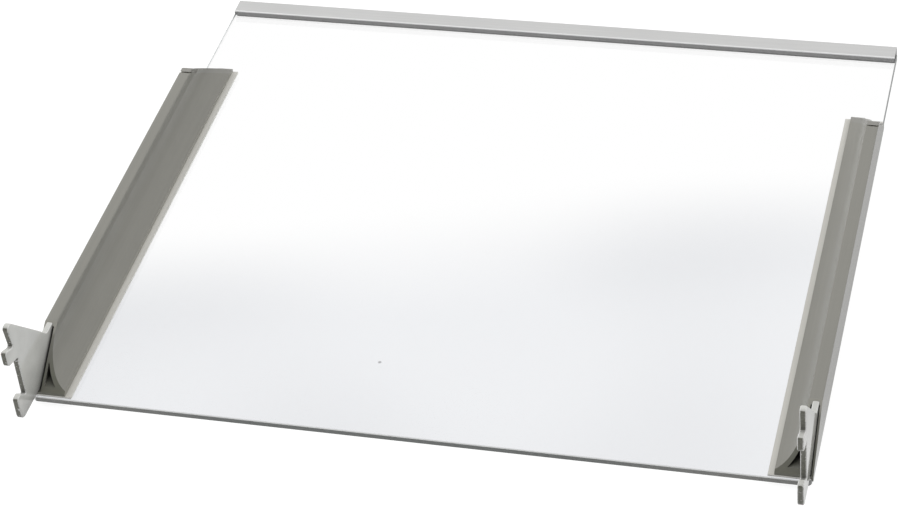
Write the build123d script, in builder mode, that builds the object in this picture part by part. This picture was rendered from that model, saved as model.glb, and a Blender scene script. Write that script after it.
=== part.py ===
"""Glass shelf of a refrigerator, hung by two hook brackets at its rear edge.

The frame has X across the shelf, Y from the rear hooks to the front trim and Z up. Its origin is the middle
of the shelf's footprint, at the level of the lowest face. All sizes are in millimetres.

Three directions are measured from the top rear left corner of the glass: inset is to the right from the side
edge, forward is towards the front trim, and height is up from the top face of the glass.
"""

import math
import os

from build123d import *

# Glass panel
glass_width = 466.0
glass_depth = 414.0
glass_thickness = 4.0
glass_corner_radius = 3.0
glass_arris = 0.5

# Front trim, a channel over the front edge of the glass
trim_overlap = 10.7
trim_bottom_overlap = 7.5
trim_top_lip = 3.0
trim_bottom_lip = 1.5
trim_front_wall = 3.2
trim_fit = 0.2
trim_end_inset = 0.9
trim_rear_round = 0.8
trim_nose_round = 1.5

# Base strip under each side profile
strip_thickness = 1.2
strip_edge_inset = 0.3
strip_lip = 3.8
strip_rear = 1.2
strip_front_step = 0.7

# Side profile, as a section
profile_height = 27.0
profile_overhang = 0.9
crest_width = 7.9
crest_round = 0.8
outer_wall = 1.2
top_wall = 2.0
web_wall = 1.4
base_wall = 1.5
flare_radius = 20.0
flare_wall = 2.2
foot_inset = 20.9
foot_lip = 1.2
hollow_base = 3.6
hollow_height = 8.0
skirt_drop = 0.8
skirt_fit = 0.2

# Side profile, along the shelf
profile_rear = 1.4
profile_front_margin = 83.7
rear_slant = 37.7
front_slant = 35.4

# Bracket plate and its arm
plate_thickness = 3.6
plate_outer_play = 0.5
plate_inner_play = 1.1
plate_edge_break = 0.5
arm_floor_gap = 0.6
arm_end_gap = 16.0
arm_end_round = 4.0

# Bracket hooks: distances behind the bearing edge, and heights stacked from the glass up
bearing_setback = 12.95
hook_length = 11.9
hook_bottom = 42.4
hook_tip_rise = 3.7
hook_shoulder_rise = 14.8
hook_tip_round = 3.5
hook_shoulder_round = 1.6
relief_radius = 0.9
notch_step = 1.4
notch_rise = 10.2
notch_round = 1.2
lobe_overhang = 3.5
lobe_rise = 15.6
lobe_width = 5.1
lobe_round = 2.0
lobe_front_round = 3.0
brace_gap = 11.5
brace_foot_round = 3.0
shoulder_gap = 0.3
shoulder_round = 0.1
tab_step = 0.4
tab_height = 16.9
tab_width = 5.0
tab_root_drop = 5.5
tab_root_round = 0.6
tab_round = 1.8
tab_heel_round = 4.5

# End cap in the front end of each side profile
cap_length = 5.2
cap_block_step = 0.4
cap_inner_drop = 6.5
cap_reveal = 1.3
cap_plate = 1.2
cap_foot_width = 9.0
cap_block_height = 4.0
cap_round = 0.8
plug_depth = 12.0
plug_play = 0.25

# Places that follow from the sizes above
hook_reach = bearing_setback + hook_length
glass_top = trim_bottom_lip + glass_thickness
trim_front = glass_depth + trim_fit + trim_front_wall
trim_rear = glass_depth - trim_overlap
trim_bottom_rear = glass_depth - trim_bottom_overlap
glass_rear = hook_reach - (hook_reach + trim_front) / 2
glass_left = -glass_width / 2

profile_front = glass_depth - profile_front_margin
profile_length = profile_front - profile_rear
floor_height = strip_thickness + base_wall
crest_inset = crest_width - profile_overhang
slot_start = outer_wall - profile_overhang
slot_end = slot_start + plate_outer_play + plate_thickness + plate_inner_play
slot_top = profile_height - top_wall
hollow_start = slot_end + web_wall
hollow_floor = strip_thickness + hollow_base
foot_height = floor_height + foot_lip
flare_run = crest_inset + flare_radius - foot_inset
flare_center = (crest_inset + flare_radius, foot_height + math.sqrt(flare_radius**2 - flare_run**2))
flare_foot_angle = 180 + math.degrees(math.acos(flare_run / flare_radius))
rear_slope = rear_slant / (profile_height - floor_height)
front_slope = front_slant / (profile_height - floor_height)
cap_front = profile_front + cap_length
strip_length = cap_front - strip_front_step - strip_rear


def rear_end(height):
    """How far forward the slanted rear end of a side profile lies at a height."""
    return profile_rear + rear_slope * (height - floor_height)


def front_end(height):
    """How far forward the slanted front end of a side profile lies at a height."""
    return profile_front - front_slope * (height - floor_height)


def section_plane(forward):
    """A plane across the left edge of the shelf, with inset and height as its axes, facing the rear."""
    return Plane(origin=(glass_left, glass_rear + forward, glass_top), x_dir=(1, 0, 0), z_dir=(0, -1, 0))


def side_plane(inset):
    """A plane along the left edge of the shelf, with forward and height as its axes, facing the middle."""
    return Plane(origin=(glass_left + inset, glass_rear, glass_top), x_dir=(0, 1, 0), z_dir=(1, 0, 0))


def slot_section(play):
    """The bracket's slot in the profile, narrowed by some play on every side."""
    with BuildSketch() as slot:
        with Locations((slot_start + play, floor_height + play)):
            Rectangle(
                slot_end - slot_start - 2 * play,
                slot_top - floor_height - 2 * play,
                align=(Align.MIN, Align.MIN),
            )
    return slot.sketch


def hollow_section(play):
    """The three-sided hollow under the flared wall, narrowed by some play on every side."""
    with BuildSketch() as hollow:
        with Locations((hollow_start + play, hollow_floor + play)):
            Rectangle(foot_inset - hollow_start, hollow_height - 2 * play, align=(Align.MIN, Align.MIN))
        with Locations(flare_center):
            Circle(flare_radius + flare_wall + play, mode=Mode.SUBTRACT)
    return hollow.sketch


# Glass panel: a flat sheet with rounded corners and seamed edges
with BuildPart() as glass_panel:
    with BuildSketch(Plane.XY.offset(trim_bottom_lip)):
        with Locations((0, glass_rear + glass_depth / 2)):
            RectangleRounded(glass_width, glass_depth, glass_corner_radius)
    extrude(amount=glass_thickness)
    seams = glass_panel.faces().sort_by(Axis.Z)
    chamfer((seams[0].edges() + seams[-1].edges()), glass_arris)

# Front trim: a channel section along the front edge of the glass
with BuildPart() as front_trim:
    with BuildSketch(side_plane(trim_end_inset)) as trim_section:
        with BuildLine():
            Polyline(
                (trim_rear, trim_top_lip),
                (trim_rear, 0),
                (glass_depth + trim_fit, 0),
                (glass_depth + trim_fit, -glass_thickness),
                (trim_bottom_rear, -glass_thickness),
                (trim_bottom_rear, -glass_top),
                (trim_front, -glass_top),
                (trim_front, trim_top_lip),
                close=True,
            )
        make_face()
        fillet(trim_section.vertices().group_by(Axis.X)[-1], trim_nose_round)
        fillet(trim_section.vertices().group_by(Axis.X)[0].group_by(Axis.Y)[-1], trim_rear_round)
    extrude(amount=glass_width - 2 * trim_end_inset)

# Base strip: a flat strip on the glass, wider than the profile's foot
with BuildPart() as left_base_strip:
    with BuildSketch(section_plane(strip_rear)):
        with Locations((strip_edge_inset, 0)):
            Rectangle(
                foot_inset + strip_lip - strip_edge_inset,
                strip_thickness,
                align=(Align.MIN, Align.MIN),
            )
    extrude(amount=-strip_length)

# Side profile: a hollow extrusion with a flared inner wall, cut on a slant at both ends
with BuildPart() as left_side_profile:
    with BuildSketch(section_plane(profile_rear)) as profile_section:
        with BuildLine():
            Polyline(
                (foot_inset, foot_height),
                (foot_inset, strip_thickness),
                (-skirt_fit, strip_thickness),
                (-skirt_fit, -skirt_drop),
                (-profile_overhang, -skirt_drop),
                (-profile_overhang, profile_height),
                (crest_inset, profile_height),
                (crest_inset, flare_center[1]),
            )
            CenterArc(flare_center, flare_radius, 180, flare_foot_angle - 180)
        make_face()
        fillet(profile_section.vertices().group_by(Axis.Y)[-1], crest_round)
        add(slot_section(play=0), mode=Mode.SUBTRACT)
        add(hollow_section(play=0), mode=Mode.SUBTRACT)
    extrude(amount=-profile_length)
    with BuildSketch(side_plane(-profile_overhang)):
        Polygon(
            (profile_rear, -skirt_drop),
            (profile_rear, floor_height),
            (profile_rear + rear_slant, profile_height),
            (profile_front - front_slant, profile_height),
            (profile_front, floor_height),
            (profile_front, -skirt_drop),
            align=None,
        )
    extrude(amount=profile_overhang + foot_inset, mode=Mode.INTERSECT)

# Bracket: a flat plate with hooks at the rear and an arm that lies in the profile's slot
arm_front = front_end(slot_top) - plug_depth - arm_end_gap
arm_bottom = floor_height + arm_floor_gap
tab_reach = hook_reach - tab_step
tab_top = arm_bottom + tab_height
notch_setback = bearing_setback + notch_step
notch_height = hook_bottom + notch_rise
lobe_reach = bearing_setback + lobe_overhang
lobe_top = notch_height + lobe_rise
plate_outline = [
    ((arm_front, arm_bottom), arm_end_round),
    ((-tab_reach, arm_bottom), tab_heel_round),
    ((-tab_reach, tab_top), tab_round),
    ((tab_width - tab_reach, tab_top), tab_round),
    ((-bearing_setback, tab_top - tab_root_drop), tab_root_round),
    ((-bearing_setback, hook_bottom), 0),
    ((-hook_reach, hook_bottom + hook_tip_rise), hook_tip_round),
    ((-hook_reach, hook_bottom + hook_shoulder_rise), hook_shoulder_round),
    ((-notch_setback, notch_height), notch_round),
    ((-lobe_reach, lobe_top), lobe_round),
    ((lobe_width - lobe_reach, lobe_top), lobe_front_round),
    ((rear_end(profile_height) - brace_gap, profile_height), brace_foot_round),
    ((rear_end(profile_height) - shoulder_gap, profile_height), plate_edge_break + shoulder_round),
    ((rear_end(slot_top) - shoulder_gap, slot_top), 0),
    ((arm_front, slot_top), arm_end_round),
]
with BuildPart() as left_bracket:
    with BuildSketch(side_plane(slot_start + plate_outer_play)):
        with BuildLine():
            FilletPolyline(
                [point for point, corner in plate_outline],
                radius=[corner for point, corner in plate_outline],
                close=True,
            )
        make_face()
        with Locations((-bearing_setback, hook_bottom - relief_radius)):
            Circle(relief_radius, mode=Mode.SUBTRACT)
    extrude(amount=plate_thickness)
    plate_faces = left_bracket.faces().filter_by(Axis.X)
    chamfer(plate_faces.edges(), plate_edge_break)

# End cap body: a block at the crest over a thin plate, with a rim that follows the flared wall to its foot
block_bottom = profile_height - cap_block_height
cap_block_inset = crest_inset - cap_block_step
cap_inner_height = profile_height - cap_inner_drop
cap_drop = flare_center[1] - cap_inner_height
cap_flare_angle = 180 + math.degrees(math.asin(cap_drop / flare_radius))
cap_flare_inset = flare_center[0] - math.sqrt(flare_radius**2 - cap_drop**2)
with BuildPart() as cap_relief:
    with BuildSketch(side_plane(-profile_overhang)):
        Polygon(
            (profile_front + cap_plate, 0),
            (profile_front + cap_plate, floor_height),
            (front_end(block_bottom) + cap_plate, block_bottom),
            (front_end(block_bottom) + 2 * cap_length, block_bottom),
            (profile_front + 2 * cap_length, floor_height),
            (profile_front + 2 * cap_length, 0),
            align=None,
        )
    extrude(amount=profile_overhang + foot_inset - cap_foot_width)
    with BuildSketch(section_plane(profile_front - front_slant)):
        with Locations(flare_center):
            Circle(flare_radius + flare_wall)
    extrude(amount=-front_slant - 2 * cap_length, mode=Mode.SUBTRACT)
with BuildPart() as cap_body:
    with BuildSketch(section_plane(profile_front - front_slant)) as cap_section:
        with BuildLine():
            Polyline(
                (foot_inset, foot_height),
                (foot_inset, strip_thickness),
                (slot_start, strip_thickness),
                (slot_start, block_bottom),
                (-profile_overhang, block_bottom),
                (-profile_overhang, profile_height),
                (cap_block_inset, profile_height),
                (cap_block_inset, cap_inner_height),
                (cap_flare_inset, cap_inner_height),
            )
            CenterArc(flare_center, flare_radius, cap_flare_angle, flare_foot_angle - cap_flare_angle)
        make_face()
        fillet(cap_section.vertices().group_by(Axis.Y)[-1], cap_round)
    extrude(amount=-front_slant - cap_length)
    with BuildSketch(side_plane(-profile_overhang)):
        Polygon(
            (profile_front, strip_thickness),
            (profile_front, floor_height),
            (front_end(slot_top), slot_top),
            (front_end(slot_top) + cap_reveal, slot_top),
            (front_end(profile_height) + cap_reveal, profile_height),
            (front_end(profile_height) + cap_length, profile_height),
            (cap_front, floor_height),
            (cap_front, strip_thickness),
            align=None,
        )
    extrude(amount=profile_overhang + foot_inset, mode=Mode.INTERSECT)
    add(cap_relief.part, mode=Mode.SUBTRACT)

# End cap plugs: a tongue for the slot and one for the hollow, cut off at the slanted end
hollow_top = hollow_floor + hollow_height
tongue_rear = front_end(slot_top) - plug_depth
plug_rear = front_end(hollow_top) - plug_depth
with BuildPart() as cap_plugs:
    with BuildSketch(section_plane(tongue_rear)):
        add(slot_section(plug_play))
    extrude(amount=tongue_rear - profile_front)
    with BuildSketch(section_plane(plug_rear)):
        add(hollow_section(plug_play))
    extrude(amount=plug_rear - profile_front)
    with BuildSketch(side_plane(-profile_overhang)):
        Polygon(
            (tongue_rear, floor_height),
            (profile_front, floor_height),
            (front_end(profile_height), profile_height),
            (tongue_rear, profile_height),
            align=None,
        )
    extrude(amount=profile_overhang + foot_inset, mode=Mode.INTERSECT)

with BuildPart() as left_end_cap:
    add(cap_body.part)
    add(cap_plugs.part)

# The right side mirrors the left
with BuildPart() as right_base_strip:
    mirror(left_base_strip.part, about=Plane.YZ)
with BuildPart() as right_side_profile:
    mirror(left_side_profile.part, about=Plane.YZ)
with BuildPart() as right_bracket:
    mirror(left_bracket.part, about=Plane.YZ)
with BuildPart() as right_end_cap:
    mirror(left_end_cap.part, about=Plane.YZ)

# Each piece is written under its own name
pieces = {
    "glass_panel": glass_panel,
    "front_trim": front_trim,
    "left_base_strip": left_base_strip,
    "right_base_strip": right_base_strip,
    "left_side_profile": left_side_profile,
    "right_side_profile": right_side_profile,
    "left_bracket": left_bracket,
    "right_bracket": right_bracket,
    "left_end_cap": left_end_cap,
    "right_end_cap": right_end_cap,
}
os.makedirs("parts", exist_ok=True)
for name, piece in pieces.items():
    piece.part.label = name
    export_step(piece.part, f"parts/{name}.step")
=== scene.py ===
import math

import bpy
from mathutils import Matrix, Vector


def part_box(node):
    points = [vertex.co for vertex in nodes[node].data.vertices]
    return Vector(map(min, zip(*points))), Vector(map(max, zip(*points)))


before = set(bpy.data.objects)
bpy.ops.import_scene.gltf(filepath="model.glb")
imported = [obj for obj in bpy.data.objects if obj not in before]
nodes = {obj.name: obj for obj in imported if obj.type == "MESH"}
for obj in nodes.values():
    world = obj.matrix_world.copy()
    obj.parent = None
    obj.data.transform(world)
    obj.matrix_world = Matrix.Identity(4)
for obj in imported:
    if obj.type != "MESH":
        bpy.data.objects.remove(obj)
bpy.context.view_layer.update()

# Places on the part in metres: X is across the shelf, Y runs from the hooks to the trim, Z is up
foot_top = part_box("left_base_strip")[1][2] + 0.004
# Heights at which the painted tones low on rear faces and on the hollow's floor fade, and the crest's
# painted light begins
low_full, low_end = 0.012, 0.03
crest_start, crest_full = 0.027, 0.029
trim_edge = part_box("front_trim")[0][1] + 0.0013
glass_middle = sum(corner[2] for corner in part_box("glass_panel")) / 2.0
# Where the painted reflection in the glass is full, where it ends, and how far its end wanders
reflection_full, reflection_end, reflection_drift = -0.075, 0.03, 0.08
speck_place = {"X": -0.0331, "Y": -0.1355}
speck_core, speck_reach = 0.0005, 0.0015

# How far the end of the painted reflection runs forward for each metre to the right
reflection_slant = 0.3

# Colours, as linear red, green and blue
profile_grey = (0.23, 0.225, 0.20)
# Painted shade on the low rear faces of the profiles and caps
rear_shade_grey = (0.165, 0.165, 0.135)
# Painted shade on the floor of the hollow
hollow_shade_grey = (0.12, 0.12, 0.10)
cap_grey = (0.255, 0.25, 0.23)
strip_grey = (0.60, 0.59, 0.55)
# Painted light on the rear ends of the strips
strip_end_light = (0.90, 0.89, 0.86)
trim_grey = (0.61, 0.61, 0.605)
# Painted shade on the rear lip of the trim, also used on its ends
lip_shade_grey = (0.28, 0.28, 0.28)
# A painted highlight along the rear edge of the trim
edge_highlight_grey = (0.80, 0.80, 0.80)
bracket_grey = (0.59, 0.59, 0.56)
# Painted shade on the rear edges of the brackets
edge_shade_grey = (0.175, 0.175, 0.145)
# A painted highlight on the rims of the brackets, also used for their glints
rim_highlight_grey = (0.72, 0.72, 0.70)
speck_grey = (0.20, 0.20, 0.20)
clear = (1.0, 1.0, 1.0)
# Painted reflection in the glass, in two shades
reflection_shades = (0.79, 0.80, 0.82), (0.86, 0.87, 0.89)
rim_middle = (0.19, 0.20, 0.195), (0.24, 0.25, 0.245)
rim_ends = (0.26, 0.26, 0.25), (0.32, 0.32, 0.31)
rim_right = (0.26, 0.27, 0.265), (0.34, 0.35, 0.345)
# Painted light on the left edge of the glass
left_rim_light = (0.9, 0.9, 0.9)

# Colours with the fourth number that a shader's own socket takes
white = (1.0, 1.0, 1.0, 1.0)
# A painted highlight along the top of the glass edges
seam_highlight = (0.95, 0.96, 0.96, 1.0)
glass_light = (0.92, 0.93, 0.93, 1.0)
floor_grey = (0.75, 0.75, 0.75, 1.0)
shadow_grey = (0.2, 0.2, 0.2, 1.0)


class Shader:
    """The node tree of a material or a world, with short calls to add nodes and join them."""

    def __init__(self, owner, output):
        owner.use_nodes = True
        self.owner = owner
        self.tree = owner.node_tree
        self.tree.nodes.clear()
        self.output = self.tree.nodes.new("ShaderNode" + output)

    def add(self, kind, **sockets):
        """A new node, with values or links set on its inputs by name."""
        node = self.tree.nodes.new("ShaderNode" + kind)
        for name, value in sockets.items():
            self.set(node, name.replace("_", " "), value)
        return node

    def set(self, node, name, value):
        socket = node.inputs[name]
        if isinstance(value, bpy.types.NodeSocket):
            self.tree.links.new(value, socket)
        else:
            socket.default_value = value

    def math(self, operation, first, second=0.0):
        node = self.add("Math")
        node.operation = operation
        self.set(node, 0, first)
        self.set(node, 1, second)
        return node.outputs[0]

    def above(self, value, limit):
        return self.math("GREATER_THAN", value, limit)

    def below(self, value, limit):
        return self.math("LESS_THAN", value, limit)

    def both(self, first, second):
        """1 where two masks are both 1."""
        return self.math("MULTIPLY", first, second)

    def blend(self, first, second, share):
        """A share of one value, and the rest of another."""
        rest = self.math("MULTIPLY", second, 1.0 - share)
        return self.math("ADD", self.math("MULTIPLY", first, share), rest)

    def noise(self, scale, detail, rough=0.5, spread=(1.0, 1.0, 1.0)):
        """Noise about 0.5, at so many bumps to the metre, stretched along each axis."""
        coordinates = self.add("TexCoord").outputs["Object"]
        place = self.add("Mapping", Vector=coordinates, Scale=spread).outputs["Vector"]
        texture = self.add("TexNoise", Vector=place, Scale=scale, Detail=detail, Roughness=rough)
        return texture.outputs["Fac"]

    def ramp(self, value, low, high, start, end):
        """Maps low and high of a value to start and end, smoothly."""
        node = self.add("MapRange", Value=value, From_Min=low, From_Max=high, To_Min=start, To_Max=end)
        node.interpolation_type = "SMOOTHSTEP"
        return node.outputs["Result"]

    def fill(self, noise, low=0.3, high=0.7):
        """Noise drawn out to run from 0 to 1."""
        return self.ramp(noise, low, high, 0.0, 1.0)

    def tint(self, factor, first, second):
        """A colour between two, by a factor from 0 to 1. Each is three numbers or a socket."""
        node = self.add("MixRGB", Fac=factor)
        for name, colour in (("Color1", first), ("Color2", second)):
            self.set(node, name, colour if isinstance(colour, bpy.types.NodeSocket) else (*colour, 1.0))
        return node.outputs["Color"]

    def mix(self, factor, first, second):
        """One shader or another, by a factor from 0 to 1."""
        node = self.add("MixShader", Fac=factor)
        self.set(node, 1, first)
        self.set(node, 2, second)
        return node.outputs["Shader"]

    def spot(self):
        """The place on the part, as X, Y and Z in metres."""
        return self.add("SeparateXYZ", Vector=self.add("TexCoord").outputs["Object"]).outputs

    def facing(self):
        """The direction that the surface itself faces, as X, Y and Z."""
        return self.add("SeparateXYZ", Vector=self.add("NewGeometry").outputs["True Normal"]).outputs

    def open(self, reach, low, high):
        """1 on open surfaces, down to 0 in corners and gaps narrower than a reach."""
        node = self.add("AmbientOcclusion", Distance=reach)
        node.samples = 8
        return self.ramp(node.outputs["AO"], low, high, 0.0, 1.0)

    def bump(self, height, strength, distance):
        return self.add("Bump", Height=height, Strength=strength, Distance=distance).outputs["Normal"]

    def finish(self, shader):
        self.tree.links.new(shader, self.output.inputs["Surface"])
        return self.owner


def material_shader(name):
    return Shader(bpy.data.materials.new(name), "OutputMaterial")


def scaled(colour, times):
    """A colour made darker, or lighter up to a pale grey."""
    return [min(c * times, 0.9) for c in colour]


def shades(colour, spread):
    """A darker and a lighter shade of a colour."""
    return [c * (1.0 - spread) for c in colour], [min(c * (1.0 + spread), 1.0) for c in colour]


def satin_plastic(name, colour, rear, hollow, roughness, outer_roughness, gap_shade):
    """Plastic with faint draw lines along the shelf, a fine grain and smoother outer walls.

    Rear faces, the hollow's floor, the foot beside the strip, and gaps have painted light and shade of
    their own.
    """
    shader = material_shader(name)
    spot, facing = shader.spot(), shader.facing()
    outwards = shader.math("MULTIPLY", shader.math("SIGN", spot["X"]), facing["X"])
    clouds = shader.noise(scale=28.0, detail=3.0)
    streaks = shader.noise(scale=1.0, detail=4.0, rough=0.6, spread=(700.0, 7.0, 700.0))
    drawn = shader.fill(shader.blend(streaks, clouds, share=0.6))
    paint = shader.tint(drawn, *shades(colour, spread=0.03))

    # Rear faces: a painted tone low down, painted shade on the profiles and caps and painted light on the
    # strips, and painted light at the crest
    is_rear = shader.below(facing["Y"], -0.4)
    is_low = shader.ramp(spot["Z"], low_full, low_end, 1.0, 0.0)
    is_crest = shader.ramp(spot["Z"], crest_start, crest_full, 0.0, 1.0)
    rear_tone = shader.tint(shader.fill(clouds), *shades(rear, spread=0.05))
    crest = shader.tint(drawn, *shades(scaled(colour, 1.6), spread=0.03))
    paint = shader.tint(is_rear, paint, shader.tint(is_crest, shader.tint(is_low, paint, rear_tone), crest))

    # Painted shade on the floor of the hollow, and painted light on the foot of the flare beside the strip
    if hollow:
        is_floor = shader.both(shader.above(facing["Z"], 0.97), is_low)
        paint = shader.tint(is_floor, paint, shader.tint(drawn, *shades(hollow, spread=0.05)))
    is_foot = shader.both(shader.below(outwards, -0.9), shader.below(spot["Z"], foot_top))
    foot = shader.tint(drawn, *shades(scaled(colour, 1.4), spread=0.03))
    paint = shader.tint(is_foot, paint, foot)

    # Gaps: painted shade in the rear half of the shelf, and painted light in the front half
    is_front = shader.above(spot["Y"], 0.0)
    gap = shader.tint(is_front, scaled(colour, gap_shade), scaled(colour, 2.6))
    paint = shader.tint(shader.open(reach=0.02, low=0.1, high=0.45), gap, paint)

    gloss = shader.ramp(outwards, 0.3, 0.6, roughness, outer_roughness)
    surface = shader.add("BsdfPrincipled", Base_Color=paint, Roughness=gloss, Metallic=0.0, IOR=1.49)
    grain = shader.noise(scale=2600.0, detail=2.0)
    shader.set(surface, "Normal", shader.bump(grain, strength=0.03, distance=0.0002))
    return shader.finish(surface.outputs["BSDF"])


def satin_metal(name, colour, lip_shade, edge, roughness):
    """Anodised metal brushed along the width of the shelf.

    It is darker on its lip, a painted shade, and on its ends, with a painted highlight along its rear
    edge.
    """
    shader = material_shader(name)
    facing = shader.facing()
    lines = shader.noise(scale=1.0, detail=4.0, rough=0.65, spread=(10.0, 1600.0, 1600.0))
    clouds = shader.noise(scale=9.0, detail=2.0)
    brushed = shader.fill(shader.blend(lines, clouds, share=0.5))
    paint = shader.tint(brushed, *shades(colour, spread=0.05))
    # Painted shade on the rear lip, and the same darker tone on the sawn ends
    is_lip = shader.below(facing["Y"], -0.95)
    is_end_face = shader.above(shader.math("ABSOLUTE", facing["X"]), 0.9)
    paint = shader.tint(shader.math("MAXIMUM", is_lip, is_end_face), paint, lip_shade)
    # A painted highlight along the rounded rear edge, which is not metallic
    is_edge = shader.both(shader.below(shader.spot()["Y"], trim_edge), shader.above(facing["Z"], 0.31))
    paint = shader.tint(is_edge, paint, edge)
    off_highlight = shader.math("SUBTRACT", 1.0, is_edge)
    surface = shader.add("BsdfPrincipled", Base_Color=paint, Roughness=roughness, Metallic=off_highlight)
    shader.set(surface, "Normal", shader.bump(lines, strength=0.05, distance=0.0002))
    return shader.finish(surface.outputs["BSDF"])


def painted_steel(name, colour, edge_shade, rim_highlight, roughness):
    """Light grey paint on a stamped plate, with a slight orange peel.

    Its rear edges carry painted shade with a few painted glints, and its rims a painted highlight.
    """
    shader = material_shader(name)
    facing = shader.facing()
    clouds = shader.noise(scale=40.0, detail=4.0, rough=0.55)
    peel = shader.noise(scale=900.0, detail=2.0)
    paint = shader.tint(shader.fill(clouds), *shades(colour, spread=0.06))

    # Sheared rear edges: painted shade, with a few painted glints
    is_rear = shader.below(facing["Y"], -0.6)
    glints = shader.fill(shader.noise(scale=420.0, detail=2.0), low=0.63, high=0.69)
    shaded_edge = shader.tint(shader.fill(peel, low=0.35, high=0.65), *shades(edge_shade, spread=0.15))
    paint = shader.tint(is_rear, paint, shader.tint(glints, shaded_edge, rim_highlight))

    # Rims, which face neither straight to the side nor straight away from it, get a painted highlight
    # broken up by noise, and corners painted shade
    side = shader.math("ABSOLUTE", facing["X"])
    is_rim = shader.both(shader.above(side, 0.2), shader.below(side, 0.97))
    highlight_break = shader.ramp(peel, low=0.3, high=0.6, start=0.5, end=1.0)
    paint = shader.tint(shader.both(is_rim, highlight_break), paint, rim_highlight)
    paint = shader.tint(shader.open(reach=0.035, low=0.3, high=1.0), scaled(colour, 0.3), paint)

    surface = shader.add("BsdfPrincipled", Base_Color=paint, Roughness=roughness, Metallic=0.0, IOR=1.5)
    shader.set(surface, "Normal", shader.bump(peel, strength=0.008, distance=0.0003))
    return shader.finish(surface.outputs["BSDF"])


def sheet_with_painted_reflection(shader, spot):
    """The clear faces of the glass, with a painted reflection towards the rear and one speck of dirt on
    top.
    """
    clouds = shader.noise(scale=5.0, detail=0.0)
    ahead = shader.math("SUBTRACT", spot["Y"], shader.math("MULTIPLY", spot["X"], reflection_slant))
    drift = shader.math("MULTIPLY", shader.math("SUBTRACT", clouds, 0.5), reflection_drift)
    painted_reflection = shader.ramp(shader.math("ADD", ahead, drift), reflection_full, reflection_end, 1.0, 0.0)
    colour = shader.tint(painted_reflection, clear, shader.tint(shader.fill(clouds), *reflection_shades))
    offsets = [shader.math("SUBTRACT", spot[axis], place) for axis, place in speck_place.items()]
    squares = [shader.math("MULTIPLY", offset, offset) for offset in offsets]
    away = shader.math("SQRT", shader.math("ADD", *squares))
    is_upper = shader.above(spot["Z"], glass_middle)
    is_speck = shader.both(is_upper, shader.ramp(away, speck_core, speck_reach, 1.0, 0.0))
    colour = shader.tint(is_speck, colour, speck_grey)
    sheet = shader.add("BsdfPrincipled", Base_Color=colour, Roughness=0.0, Metallic=0.0, IOR=1.5)
    shader.set(sheet, "Transmission Weight", 1.0)
    return sheet.outputs["BSDF"]


def ground_rim(shader, spot, facing):
    """The ground edges of the glass, with a painted highlight along the top of the rear, front and left
    ones, and painted light on the left one.
    """
    ground = shader.fill(shader.noise(scale=300.0, detail=3.0, spread=(1.0, 1.0, 6.0)))
    near_ends = shader.ramp(shader.math("ABSOLUTE", spot["X"]), low=0.1, high=0.2, start=0.0, end=1.0)
    is_side = shader.above(shader.math("ABSOLUTE", facing["X"]), 0.3)
    is_right = shader.both(is_side, shader.above(spot["X"], 0.0))
    is_left = shader.math("SUBTRACT", is_side, is_right)
    colour = shader.tint(near_ends, shader.tint(ground, *rim_middle), shader.tint(ground, *rim_ends))
    colour = shader.tint(is_right, colour, shader.tint(ground, *rim_right))
    # Painted light on the left edge
    colour = shader.tint(is_left, colour, left_rim_light)
    edge = shader.add("BsdfPrincipled", Base_Color=colour, Roughness=0.25, IOR=1.5)
    seam = shader.add("BsdfPrincipled", Base_Color=seam_highlight, Roughness=0.3, IOR=1.5)
    is_seam = shader.above(shader.math("SUBTRACT", facing["Z"], is_right), 0.4)
    return shader.mix(is_seam, edge.outputs["BSDF"], seam.outputs["BSDF"])


def clear_glass(name):
    """Clear glass with ground edges, which lets the light of the lamps and the floor through."""
    shader = material_shader(name)
    spot, facing = shader.spot(), shader.facing()
    path = shader.add("LightPath").outputs
    lets_through = shader.math("MAXIMUM", path["Is Shadow Ray"], path["Is Diffuse Ray"])
    passed = shader.add("BsdfTransparent", Color=glass_light).outputs["BSDF"]
    pane = shader.mix(lets_through, sheet_with_painted_reflection(shader, spot), passed)
    is_flat = shader.above(shader.math("ABSOLUTE", facing["Z"]), 0.9)
    return shader.finish(shader.mix(is_flat, ground_rim(shader, spot, facing), pane))


def white_ground(name):
    """A pale floor: near white to the eye, with a faint shadow, and white through the glass.

    In gloss it is brightest just behind the shelf, dimmer far behind it, and dimmer under the shelf and in
    front of it, a painted shadow.
    """
    shader = material_shader(name)
    path = shader.add("LightPath").outputs
    place = shader.add("NewGeometry").outputs["Position"]
    forth = shader.add("SeparateXYZ", Vector=place).outputs["Y"]
    behind = shader.ramp(forth, low=-0.8, high=-0.2, start=0.3, end=0.85)
    # Painted shadow in gloss under the shelf and in front of it
    painted_shadow_ahead = shader.ramp(forth, low=-0.2, high=-0.1, start=1.0, end=0.7)
    sweep = shader.math("MULTIPLY", behind, painted_shadow_ahead)
    strength = shader.math("MAXIMUM", path["Is Transmission Ray"], sweep)
    mirrored = shader.add("Emission", Color=white, Strength=strength).outputs["Emission"]
    matte = shader.add("BsdfDiffuse", Color=floor_grey).outputs["BSDF"]
    shown = shader.math("MAXIMUM", path["Is Transmission Ray"], path["Is Glossy Ray"])
    unseen = shader.mix(shown, matte, mirrored)
    seen = shader.add("AddShader")
    shader.set(seen, 0, shader.add("BsdfDiffuse", Color=shadow_grey).outputs["BSDF"])
    shader.set(seen, 1, shader.add("Emission", Color=white, Strength=0.9).outputs["Emission"])
    return shader.finish(shader.mix(path["Is Camera Ray"], unseen, seen.outputs["Shader"]))


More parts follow.
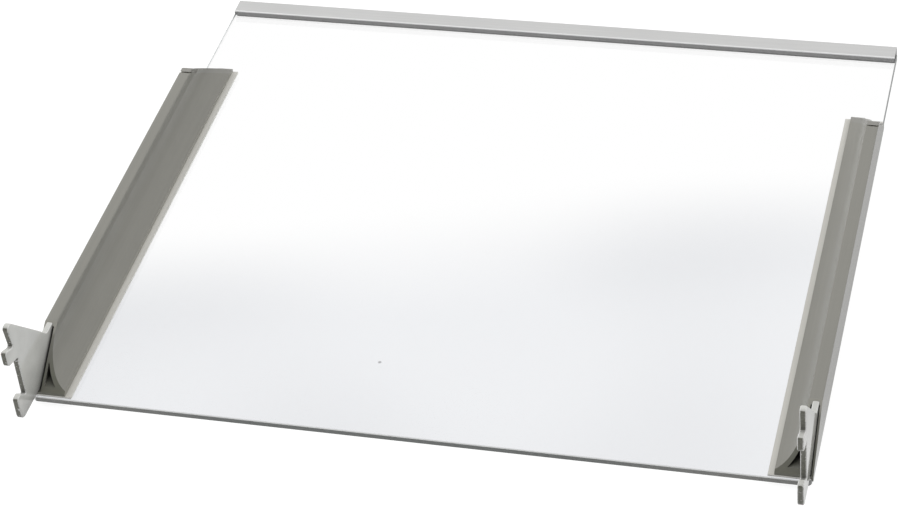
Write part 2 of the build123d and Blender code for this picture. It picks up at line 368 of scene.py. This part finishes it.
def studio_sky(name):
    """A soft sky that is brighter over the front of the shelf, and white to the eye."""
    shader = Shader(bpy.data.worlds.new(name), "OutputWorld")
    direction = shader.add("SeparateXYZ", Vector=shader.add("TexCoord").outputs["Generated"]).outputs
    front = shader.ramp(direction["Y"], low=-0.9, high=0.8, start=0.3, end=1.0)
    height = shader.ramp(direction["Z"], low=0.0, high=0.4, start=0.9, end=1.0)
    seen = shader.add("LightPath").outputs["Is Camera Ray"]
    level = shader.math("MAXIMUM", seen, shader.math("MULTIPLY", front, height))
    return shader.finish(shader.add("Background", Color=white, Strength=level).outputs["Background"])


def softbox(name, place, width, power):
    """A square lamp that faces the middle of the shelf and doesn't show in gloss or through the glass."""
    light = bpy.data.lights.new(name, "AREA")
    light.shape = "SQUARE"
    light.size = width
    light.energy = power
    box = bpy.data.objects.new(name, light)
    box.location = place
    box.visible_glossy = False
    box.visible_transmission = False
    box.rotation_mode = "QUATERNION"
    box.rotation_quaternion = (-Vector(place)).to_track_quat("-Z", "Y")
    bpy.context.scene.collection.objects.link(box)


def dress(material, *names):
    for name in names:
        nodes[name].data.materials.clear()
        nodes[name].data.materials.append(material)


# Finish of each piece
dress(clear_glass("glass"), "glass_panel")
dress(satin_metal("trim", trim_grey, lip_shade_grey, edge_highlight_grey, roughness=0.3), "front_trim")
strip = satin_plastic(
    "strip", strip_grey, strip_end_light, None, roughness=0.35, outer_roughness=0.3, gap_shade=0.6
)
profile = satin_plastic(
    "profile", profile_grey, rear_shade_grey, hollow_shade_grey, roughness=0.28, outer_roughness=0.15, gap_shade=0.15
)
cap = satin_plastic("cap", cap_grey, rear_shade_grey, None, roughness=0.35, outer_roughness=0.15, gap_shade=0.7)
bracket = painted_steel("bracket", bracket_grey, edge_shade_grey, rim_highlight_grey, roughness=0.06)
dress(strip, "left_base_strip", "right_base_strip")
dress(profile, "left_side_profile", "right_side_profile")
dress(cap, "left_end_cap", "right_end_cap")
dress(bracket, "left_bracket", "right_bracket")

# Floor, just under the part
floor_reach, floor_level = 4.0, -0.001
corner_signs = ((-1, -1), (1, -1), (1, 1), (-1, 1))
corners = [(x * floor_reach, y * floor_reach, floor_level) for x, y in corner_signs]
floor_mesh = bpy.data.meshes.new("floor")
floor_mesh.from_pydata(corners, [], [(0, 1, 2, 3)])
floor_mesh.materials.append(white_ground("ground"))
floor = bpy.data.objects.new("floor", floor_mesh)
bpy.context.scene.collection.objects.link(floor)

# Light: a soft sky, a softbox at each side and a small one overhead
bpy.context.scene.world = studio_sky("studio")
softbox("right_box", (1.0, 0.5, 1.1), width=0.9, power=4.5)
softbox("left_box", (-1.1, 0.5, 0.3), width=0.6, power=8.0)
softbox("top_box", (-0.1, -0.35, 1.3), width=0.4, power=2.5)

# Camera, behind the shelf and to its right, and slightly rolled, as in the photo
camera_place = (0.37942, -1.255535, 1.05666)
forward = Vector((-0.2380, 0.7372, -0.6323)).normalized()
roll = math.radians(6.25)
level_right = forward.cross(Vector((0.0, 0.0, 1.0))).normalized()
level_up = level_right.cross(forward)
right = math.cos(roll) * level_right - math.sin(roll) * level_up
up = right.cross(forward)
camera_data = bpy.data.cameras.new("camera")
camera_data.sensor_fit = "HORIZONTAL"
camera_data.sensor_width = 36.0
camera_data.lens = 106.66
camera_data.clip_start = 0.05
camera_data.clip_end = 50.0
camera = bpy.data.objects.new("camera", camera_data)
turned = Matrix((right, up, -forward)).transposed().to_4x4()
camera.matrix_world = Matrix.Translation(camera_place) @ turned
bpy.context.scene.collection.objects.link(camera)
bpy.context.scene.camera = camera
bpy.context.scene.view_settings.view_transform = "Standard"
